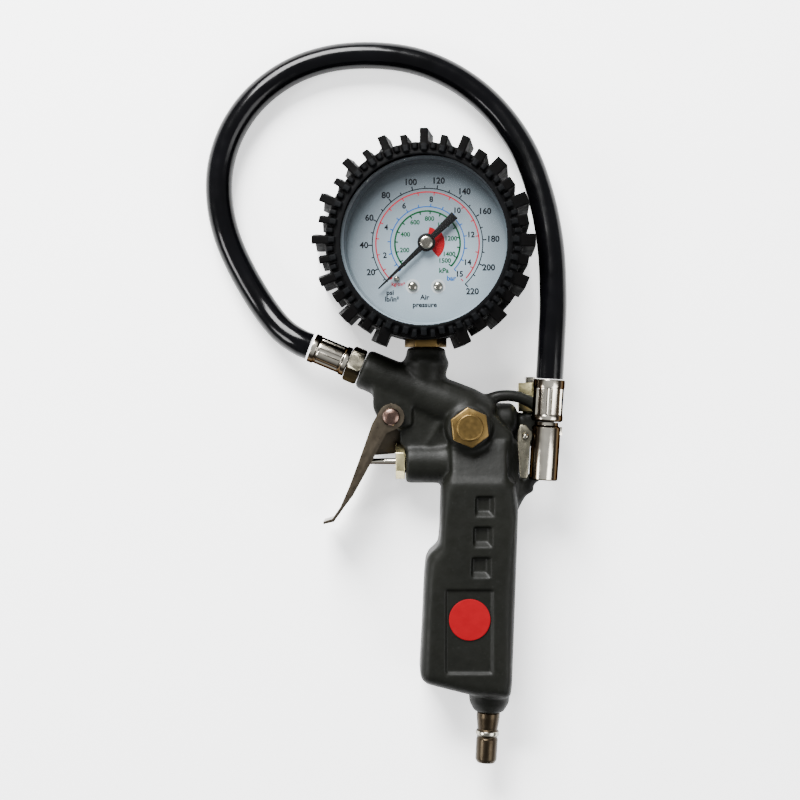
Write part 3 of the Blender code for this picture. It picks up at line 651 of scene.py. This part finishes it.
def make_casting():
    """The casting's skin: the cylinders, plates and bosses it is made of, run together as a
    mould leaves them, with the bores and the pockets cut into them."""
    barrel = in_plane(*BARREL_END, BARREL_ANGLE)
    neck = in_plane(0.1, 0.0, -90.0)
    inlet = in_plane(*INLET, INLET_ANGLE)
    handle = [(-2.3, -156.0), (-1.7, -158.6), (0.4, -160.3), (9.0, -162.5), (18.0, -164.7),
              (29.0, -165.6), (30.9, -164.6), (31.4, -160.0), (32.6, -127.0), (33.6, -97.0),
              (32.6, -87.0), (29.0, -84.0), (8.0, -84.0), (5.6, -88.0), (5.2, -104.0), (4.6, -109.6),
              (1.2, -112.6), (0.0, -115.0), (-0.6, -121.0), (-1.3, -137.0)]
    head = [(7.0, -90.0), (32.2, -90.0), (32.2, -69.0), (19.7, -56.9), (14.6, -52.4), (6.6, -49.6),
            (5.0, -53.0), (9.6, -62.0), (9.6, -73.0), (7.0, -77.0)]
    ramp = [(9.0, -72.0), (9.0, -89.0), (29.6, -89.0), (29.6, -72.0)]
    ramped = layers([[(x, y, 5.0) for x, y in ramp],
                     [(x, y, 20.4 if y > -80 else 26.0) for x, y in ramp]])
    loop, reach = [], 22
    for i in range(reach + 1):
        angle = math.radians(128.0 - (128.0 + 84.0) * i / reach)
        loop.append((30.0 + 16.8 * math.cos(angle), -71.9 + 16.8 * math.sin(angle), MID))
    horn = [(29.0, -99.0, MID), (32.6, -93.4, MID), (35.6, -90.2, MID), (39.4, -88.4, MID)]
    shells = joined_mesh([
        rounded_prism(handle, 0.0, 26.0, 4.6, 6),
        rounded_prism(head, 3.4, 19.6, 2.4, 4), ramped,
        turned([(0.05, 0.0), (6.9, 0.0), (7.45, 0.8), (7.5, 20.0), (8.7, 33.0), (8.9, 42.0), (7.6, 50.0),
                (0.05, 53.0)], barrel, 64, closed=False, radius=1.0),
        turned([(0.05, 37.4), (6.9, 37.4), (7.2, 38.2), (7.3, 40.2), (8.7, 43.2), (7.6, 46.5),
                (6.8, 50.0), (6.6, 60.0), (0.05, 60.0)], neck, 64, closed=False, radius=0.5),
        prism([(-6.8, -76.0), (12.0, -76.0), (12.0, -58.0), (-6.8, -54.0), (-9.6, -62.0),
               (-9.6, -72.6)], 7.6, 17.4),
        turned([(0.05, -7.4), (6.9, -7.4), (7.45, -6.8), (7.45, 4.0), (8.8, 16.0), (8.8, 29.0),
                (0.05, 31.0)],
               in_plane(0.0, VALVE_Y - 0.6, 0.0), 64, closed=False, radius=0.4),
        rod(8.6, 12.0, 23.0, Matrix.Translation((*SIDE_PLUG, 0.0)), 64, 1.2),
        swept([(0.6, -73.0, 16.8), (3.0, -69.6, 16.8), (5.0, -66.0, 17.2), (7.4, -63.0, 17.8)],
              [1.2, 1.3, 1.4, 1.4], 12),
        prism([(-9.4, -67.3), (-5.0, -66.0), (-5.0, -54.0), (-19.4, -50.0), (-19.4, -59.6),
               (-17.0, -65.0), (-13.0, -67.4)], 6.6, 19.4),
        swept(loop, [2.3] * len(loop)),
        rounded_prism([(29.0, -92.0), (33.6, -91.0), (34.4, -88.0), (34.5, -75.0), (33.6, -71.6),
                       (29.0, -71.0)], 5.0, 17.4, 1.2), swept(horn, [4.2, 3.3, 2.5, 2.3]),
        rod(6.4, 16.0, 34.0, in_plane(0.0, -64.2, 0.0, 7.4), 48, 2.0),
        rod(4.9, 61.4, 74.0, in_plane(39.3, 0.0, -90.0, 5.5), 40, 0.8),
        rounded_prism([(28.0, -63.0), (28.0, -74.0), (38.0, -74.0), (38.0, -63.0)], 1.6, 9.4, 1.4),
        turned([(0.05, -4.0), (7.7, -4.0), (7.6, 5.0), (7.4, 8.2), (5.3, 11.9), (0.05, 11.9)], inlet, 64,
               closed=False, radius=0.6)])
    cuts = joined_mesh([
        turned([(0.05, -1.0), (4.4, -1.0), (4.4, 9.0), (2.6, 9.4), (2.6, 44.0), (0.05, 44.0)], barrel, 32,
               closed=False, radius=0.05),
        turned([(0.05, 36.0), (4.9, 36.0), (4.9, 48.0), (2.0, 48.5), (2.0, 56.0), (0.05, 56.0)], neck, 32,
               closed=False, radius=0.05),
        turned([(0.05, -9.0), (4.7, -9.0), (4.7, -1.6), (3.4, -1.4), (3.4, 24.0), (0.05, 24.0)],
               in_plane(0.0, VALVE_Y, 0.0), 32, closed=False, radius=0.05),
        turned([(0.05, -40.0), (2.4, -40.0), (2.4, 1.0), (4.4, 1.5), (4.4, 13.0), (0.05, 13.0)], inlet, 32,
               closed=False, radius=0.05),
        rod(4.5, 14.0, 25.0, Matrix.Translation((*SIDE_PLUG, 0.0)), 32, 0.05),
        rod(2.0, -1.0, 30.0, Matrix.Translation((*PIVOT, 0.0)), 24, 0.05),
        turned([(0.05, 60.0), (3.3, 60.0), (3.3, 68.0), (0.05, 68.0)], in_plane(39.3, 0.0, -90.0, 5.5), 24,
               closed=False, radius=0.05)]
        + [wedge_pocket(17.7 - 0.7 * row, 24.5 - 0.6 * row, -99.4 - 11.05 * row, -91.6 - 11.05 * row, 1.9)
           for row in range(3)]
        + [wedge_pocket(6.9, 24.9, -156.4, -125.4, 0.9)])
    skin = add_piece("casting_skin", shells, "body_casting")
    coarse = 0.6
    remesh = skin.modifiers.new("run_together", "REMESH")
    remesh.mode = "VOXEL"
    remesh.voxel_size = coarse * MM
    ease = skin.modifiers.new("fillet", "SMOOTH")
    ease.factor = 0.5
    ease.iterations = 16
    baked(skin)
    cutter = add_mesh_object("casting_cutter", cuts)
    cut = skin.modifiers.new("cut", "BOOLEAN")
    cut.operation = "DIFFERENCE"
    cut.object = cutter
    remesh = skin.modifiers.new("edges", "REMESH")
    remesh.mode = "VOXEL"
    remesh.voxel_size = 0.42 * MM
    ease = skin.modifiers.new("ease", "SMOOTH")
    ease.factor = 0.5
    ease.iterations = 2
    baked(skin)
    bpy.data.objects.remove(cutter)
    skin.data.shade_smooth()
    return skin


def add_mesh_object(name, shape):
    """A plain helper mesh in millimetres."""
    bmesh.ops.scale(shape, vec=(MM, MM, MM), verts=shape.verts)
    bmesh.ops.recalc_face_normals(shape, faces=shape.faces)
    mesh = bpy.data.meshes.new(name)
    shape.to_mesh(mesh)
    shape.free()
    thing = bpy.data.objects.new(name, mesh)
    bpy.context.scene.collection.objects.link(thing)
    return thing


# ---- gauge ------------------------------------------------------------------------------
def lug(shape, degrees, low, high, r0, r1, width, drop=0.6, lean=0.0):
    """A bar standing out of the ring: its top drops a little towards the tip."""
    cx, cy = BOOT_CENTRE
    angle = math.radians(degrees)
    out, side = Vector((math.cos(angle), math.sin(angle))), Vector((-math.sin(angle), math.cos(angle)))
    foot = math.radians(degrees + lean)
    foot_out = Vector((math.cos(foot), math.sin(foot)))
    foot_side = Vector((-math.sin(foot), math.cos(foot)))
    rings = []
    for along, across, z0, z1, spread in ((foot_out, foot_side, low, low, 0.25),
                                          (out, side, high, high - drop, 0.0)):
        middle = Vector((cx, cy))
        half = width / 2 + spread
        inner, tip = middle + along * r0, middle + along * r1
        ring = [(inner - across * half, z0), (tip - across * half, z1), (tip + across * half, z1),
                (inner + across * half, z0)]
        rings.append([(*point, z) for point, z in ring])
    return layers(rings, shape)


def make_boot():
    """The rubber boot: a cup with a lip, and the lugs of a tractor tyre round it."""
    cx, cy = BOOT_CENTRE
    profile = [(24.2, 0.2), (34.4, 0.2), (35.4, 1.4), (35.5, 29.4), (34.9, 30.6), (33.2, 31.4),
               (32.2, 32.5), (31.2, 33.1), (30.4, 33.0), (30.2, 32.6), (32.2, 32.3), (32.5, 31.0),
               (32.5, 2.0), (24.2, 2.0)]
    rings = []
    for reach, height in softened(profile, 0.5, 2):
        stretch = 0.5 if reach < 31.5 and height > 30.0 else 0.0
        wide, tall = reach - stretch, reach + 0.3 * stretch
        rings.append([(cx + wide * x, cy + tall * y, height) for x, y in circle(0, 0, 1.0, 160)])
    base = layers(rings, loop=True)
    for i in range(32):
        degrees = 90.0 + 11.25 * i
        if i in (15, 16, 17):
            continue
        tall = i % 2 == 0
        right = math.cos(math.radians(degrees))
        width = 3.0 + (1.6 if right > 0.5 else 0.9 if math.sin(math.radians(degrees)) < -0.4 else 0.0)
        tip = 40.2 if tall else 38.3
        lug(base, degrees, 14.0, 32.6, 33.0, tip, width if tall else width * 0.82, 0.8, -3.0)
        lug(base, degrees - 3.0, 1.2, 14.4, 33.0, tip - 0.4, width * 0.9, 0.0, 3.0)
    for i in range(32):
        lug(base, 90.0 + 11.25 * i, 29.0, 34.3, 31.9, 34.2, 2.0, 0.4)
        lug(base, 95.6 + 11.25 * i, 29.0, 33.6, 32.6, 35.0, 1.6, 0.4)
    boot = add_piece("boot_detail", base, "gauge_boot")
    opening = [(-8.3, -46.0), (8.3, -46.0), (8.3, -28.0), (-8.3, -28.0)]
    slot = add_mesh_object("slot_cutter", prism(opening, 4.6, 21.4))
    remesh = boot.modifiers.new("remesh", "REMESH")
    remesh.mode = "VOXEL"
    remesh.voxel_size = 0.3 * MM
    cut = boot.modifiers.new("slot", "BOOLEAN")
    cut.operation = "DIFFERENCE"
    cut.object = slot
    ease = boot.modifiers.new("ease", "SMOOTH")
    ease.factor = 0.5
    ease.iterations = 1
    baked(boot)
    bpy.data.objects.remove(slot)
    boot.data.shade_smooth()
    return boot


PRINT_LOW, PRINT_HIGH = DIAL_TOP + 0.01, DIAL_TOP + 0.04
PSI_FULL = 220.0
PRINT_SHIFT = (0.45, -0.2)


def psi_angle(value):
    return min(224.0, 232.5 - 1.27 * value)


def bar_angle(value):
    return psi_angle(value * 14.504)


def band(shape, radius, width, first, last, steps=90):
    outline = arc(0, 0, radius + width / 2, first, last, steps)
    outline += list(reversed(arc(0, 0, radius - width / 2, first, last, steps)))
    prism(outline, PRINT_LOW, PRINT_HIGH, shape)


def tick(shape, degrees, r0, r1, width):
    angle = math.radians(degrees)
    out, side = Vector((math.cos(angle), math.sin(angle))), Vector((-math.sin(angle), math.cos(angle)))
    outline = [out * r0 + side * width / 2, out * r0 - side * width / 2,
               out * r1 - side * width / 2, out * r1 + side * width / 2]
    prism([tuple(point) for point in outline], PRINT_LOW, PRINT_HIGH, shape)


def letter(shape, text, x, y, size, depth=0.03):
    """Adds raised type, centred on a point."""
    font = bpy.data.curves.new("type", "FONT")
    font.body = text
    font.size = size
    font.align_x, font.align_y = "CENTER", "CENTER"
    font.extrude = depth / 2
    font.offset = size * 0.028
    font.resolution_u = 3
    holder = bpy.data.objects.new("type", font)
    bpy.context.scene.collection.objects.link(holder)
    bpy.context.view_layer.update()
    mesh = bpy.data.meshes.new_from_object(holder.evaluated_get(bpy.context.evaluated_depsgraph_get()))
    mesh.transform(Matrix.Translation((x, y, PRINT_LOW + depth / 2)))
    shape.from_mesh(mesh)
    bpy.data.objects.remove(holder)
    bpy.data.meshes.remove(mesh)
    bpy.data.curves.remove(font)


def make_dial_print():
    black, red, blue, green = (bmesh.new() for _ in range(4))
    band(black, 20.0, 0.34, psi_angle(0), psi_angle(PSI_FULL))
    for value in range(10, 221, 10):
        major = value % 20 == 0
        tick(black, psi_angle(value), 20.0, 21.4 if major else 20.9, 0.42 if major else 0.36)
        if major and value:
            angle = math.radians(psi_angle(value))
            reach = 23.0 if value < 160 else 23.8
            letter(black, str(value), reach * math.cos(angle), reach * math.sin(angle), 3.1)
    band(red, 18.7, 0.46, psi_angle(6), psi_angle(216))
    for value in range(0, 16):
        tick(red, bar_angle(value + 0.15), 17.6, 18.7, 0.38)
    band(blue, 13.4, 0.36, bar_angle(0), bar_angle(15))
    for value in range(0, 16):
        tick(blue, bar_angle(value), 13.4, 14.5, 0.36)
        if value in (2, 4, 6, 8, 10, 12, 14, 15):
            angle = math.radians(bar_angle(value))
            letter(black, str(value), 16.0 * math.cos(angle), 16.0 * math.sin(angle), 2.8)
    band(green, 11.8, 0.62, bar_angle(0), bar_angle(15))
    for value in range(0, 1501, 100):
        tick(green, bar_angle(value / 100), 10.7, 11.8, 0.46)
        if value in (200, 400, 600, 800, 1000, 1200, 1400, 1500):
            angle = math.radians(bar_angle(value / 100))
            letter(green, str(value), 8.6 * math.cos(angle), 9.0 * math.sin(angle), 2.3)
    letter(green, "kPa", 5.9, -9.8, 2.5)
    letter(blue, "bar", 8.6, -12.6, 2.5)
    letter(red, "kg/cm\u00b2", -10.6, -14.7, 1.8)
    letter(black, "psi", -13.5, -17.8, 2.5)
    letter(black, "lb/in\u00b2", -12.9, -20.2, 2.5)
    letter(black, "Air", -1.0, -19.5, 2.5)
    letter(black, "pressure", -1.0, -22.2, 2.5)
    for name, shape, colour in (("print_black", black, (0.0015, 0.002, 0.003)),
                                ("print_red", red, (0.20, 0.012, 0.02)),
                                ("print_blue", blue, (0.006, 0.05, 0.17)),
                                ("print_green", green, (0.0025, 0.036, 0.012))):
        bmesh.ops.translate(shape, vec=(*PRINT_SHIFT, 0.0), verts=shape.verts)
        add_piece(name, shape, (), "body", "dial_print", printed(name, colour))
    patch = bmesh.new()
    outline = arc(0, 0, 6.7, -50.0, 40.0, 16) + arc(0, 0, 5.9, 46.0, 79.0, 6)
    outline += list(reversed(arc(0, 0, 2.4, -50.0, 79.0, 16)))
    prism(outline, PRINT_LOW, PRINT_HIGH + 0.02, patch)
    add_piece("print_sector", patch, (), "body", "dial_print",
              printed("print_sector", (0.17, 0.002, 0.005)))
    # painted highlight: a lighter flat disc under each screw head stands in for the lit wall of its recess
    recess_highlights = bmesh.new()
    for x, y in ((-4.9, -15.7), (4.3, -15.7)):
        outline = [(x + 2.6 * math.cos(a), y + 2.6 * math.sin(a))
                   for a in (2 * math.pi * i / 40 for i in range(40))]
        prism(outline, PRINT_LOW, PRINT_HIGH, recess_highlights)
    add_piece("screw_recesses", recess_highlights, (), "body", "dial_print",
              printed("screw_recess", (0.24, 0.26, 0.27)))


def make_gauge_parts():
    up = Matrix.Identity(4)
    for side, x in (("left", -4.9), ("right", 4.3)):
        dome = [(0.85, 22.4), (0.85, 25.05), (1.75, 25.1), (1.75, 25.4), (1.45, 25.95), (0.85, 26.25),
                (0.05, 26.35)]
        shape = turned(dome, up, 40, closed=False, radius=0.2)
        bmesh.ops.translate(shape, vec=(x, -15.7, 0.0), verts=shape.verts)
        add_piece(f"dial_screw_{side}_detail", shape, f"dial_screw_{side}")
    cap = [(2.45, 27.75), (2.45, 28.2), (2.25, 28.6), (1.5, 28.85), (0.05, 28.95)]
    add_piece("pointer_hub_detail", turned(cap, up, 48, closed=False, radius=0.2), "pointer_hub",
              "needle", look=FINISH["steel"])
    plate = [(5.0, 24.4), (29.4, 24.4), (29.4, 24.95), (29.3, 25.0), (3.0, 25.0)]
    add_piece("dial_detail", turned(plate, up, 160, radius=0.05), "dial_plate")
    refined("pointer", 0.1, 2)
    boss = [(3.25, 27.55), (3.25, 27.75), (2.6, 27.95), (2.55, 27.95), (2.55, 27.55)]
    add_piece("pointer_boss", turned(boss, up, 48, radius=0.05), (), "needle", "pointer_paint")
    lens = [(30.9, 30.95), (30.95, 31.6), (30.2, 32.25), (20.0, 32.3), (0.05, 32.3)]
    add_piece("lens_detail", turned(lens, up, 128, closed=False, radius=0.3), "gauge_lens")
    ring = [(28.75, 25.2), (29.75, 30.2), (30.9, 30.7), (30.9, 30.1), (29.9, 29.9), (29.0, 25.15)]
    # the bezel funnel takes the dial's finish, and with it the dial's painted shadow
    add_piece("bezel_detail", turned(ring, up, 128, radius=0.12), "bezel_ring", look=FINISH["dial_print"])
    peg = [(0.55, 22.4), (0.55, 25.0), (1.05, 25.05), (1.0, 25.8), (0.6, 26.2), (0.5, 26.4), (0.5, 27.7),
           (0.05, 27.8)]
    shape = turned(peg, up, 32, closed=False, radius=0.1)
    bmesh.ops.translate(shape, vec=(-10.7, -13.0, 0.0), verts=shape.verts)
    add_piece("stop_pin_detail", shape, "stop_pin")


# ---- brass and steel fittings -----------------------------------------------------------
def make_fittings():
    here = Matrix.Translation((*SIDE_PLUG, 0.0))
    hexed = prism(circle(0.0, 0.0, 7.5, 6, math.radians(36.5)), 23.9, 27.6)
    hexed.transform(here)
    washer = [(6.3, 23.1), (6.3, 23.7), (5.0, 23.7), (5.0, 23.1)]
    add_piece("side_plug_washer_detail", turned(washer, here, 64, radius=0.1), "side_plug_washer")
    pad = [(4.1, 15.2), (4.1, 23.6), (4.1, 27.4), (5.0, 27.5), (4.9, 28.1), (4.5, 28.55), (4.1, 28.45),
           (0.05, 28.4)]
    extra = turned(pad, here, 72, closed=False, radius=0.2)
    mesh = bpy.data.meshes.new("pad")
    extra.to_mesh(mesh)
    extra.free()
    hexed.from_mesh(mesh)
    bpy.data.meshes.remove(mesh)
    bevelled(add_piece("side_plug_detail", hexed, "side_plug"), 0.45, 3, 40.0)
    refined("gauge_socket", 0.25)
    refined("valve_gland_nut", 0.25, look=PALE_BRASS)
    refined("bleed_body", 0.25, look=PALE_BRASS)
    refined("trigger_lever", 0.3, 3)
    pin = [(1.6, 3.4), (1.6, 21.2), (3.15, 21.3), (3.2, 21.9), (2.7, 22.5), (1.5, 22.85), (0.05, 22.95)]
    shape = turned(pin, Matrix.Translation((*PIVOT, 0.0)), 56, closed=False, radius=0.25)
    add_piece("pivot_pin_detail", shape, "pivot_pin", look=RIVET)
    stem = [(0.05, -22.45), (0.7, -22.4), (1.1, -21.9), (1.1, 3.6), (2.3, 3.7), (2.3, 4.8), (0.05, 4.8)]
    shape = turned(stem, in_plane(0.0, VALVE_Y, 0.0), 48, closed=False, radius=0.15)
    add_piece("valve_stem_detail", shape, "valve_stem", "valve")
    plug = [(4.0, 3.6), (4.0, 11.9), (4.3, 12.2), (4.25, 14.0), (3.8, 17.6), (3.65, 18.3), (4.1, 18.7),
            (4.2, 19.4), (4.1, 20.4), (3.7, 20.9), (3.75, 21.4), (4.0, 21.8), (3.95, 29.4), (3.3, 30.6),
            (2.2, 30.6), (2.2, 3.6)]
    shape = turned(plug, in_plane(*INLET, INLET_ANGLE), 72, radius=0.3)
    add_piece("inlet_plug_detail", shape, "inlet_plug", look=DARK_BRONZE)
    band_ring = [(3.9, 18.8), (4.25, 18.9), (4.3, 19.6), (4.25, 20.3), (3.9, 20.4)]
    add_piece("inlet_ring", turned(band_ring, in_plane(*INLET, INLET_ANGLE), 72, radius=0.15), (),
              "body", "nickel_plate", FINISH["steel"])


def make_springs():
    """The two return springs, the valve stem's and the bleed button's, each copied from its CAD mesh into
    a piece of its own.
    """
    for node, joint, axis, anchor, keep in (
            ("valve_spring", "valve_slide", (1.0, 0.0, 0.0), (21.6, VALVE_Y, MID), 0.69),
            ("bleed_spring", "bleed_press", (0.0, 1.0, 0.0), (39.3, -56.9, 5.5), 0.56)):
        shape = bmesh.new()
        shape.from_mesh(NODES[node].data)
        coil = add_piece(node + "_coil", shape, node, scale=1.0)
        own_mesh(coil)


def make_label():
    floor = 25.1
    disc = [(7.5, floor + 0.28), (7.5, floor + 0.5), (7.2, floor + 0.56), (0.05, floor + 0.58)]
    shape = turned(disc, Matrix.Translation((15.7, -136.3, 0.0)), 72, closed=False, radius=0.1)
    add_piece("label_disc_detail", shape, "label_disc")


make_studio()
hose, hose_length = make_hose()
hose_ferrule = make_hose_fittings()
chuck_pieces = make_chuck()
make_clip_lever()
make_casting()
make_boot()
make_dial_print()
make_gauge_parts()
make_fittings()
make_springs()
make_label()
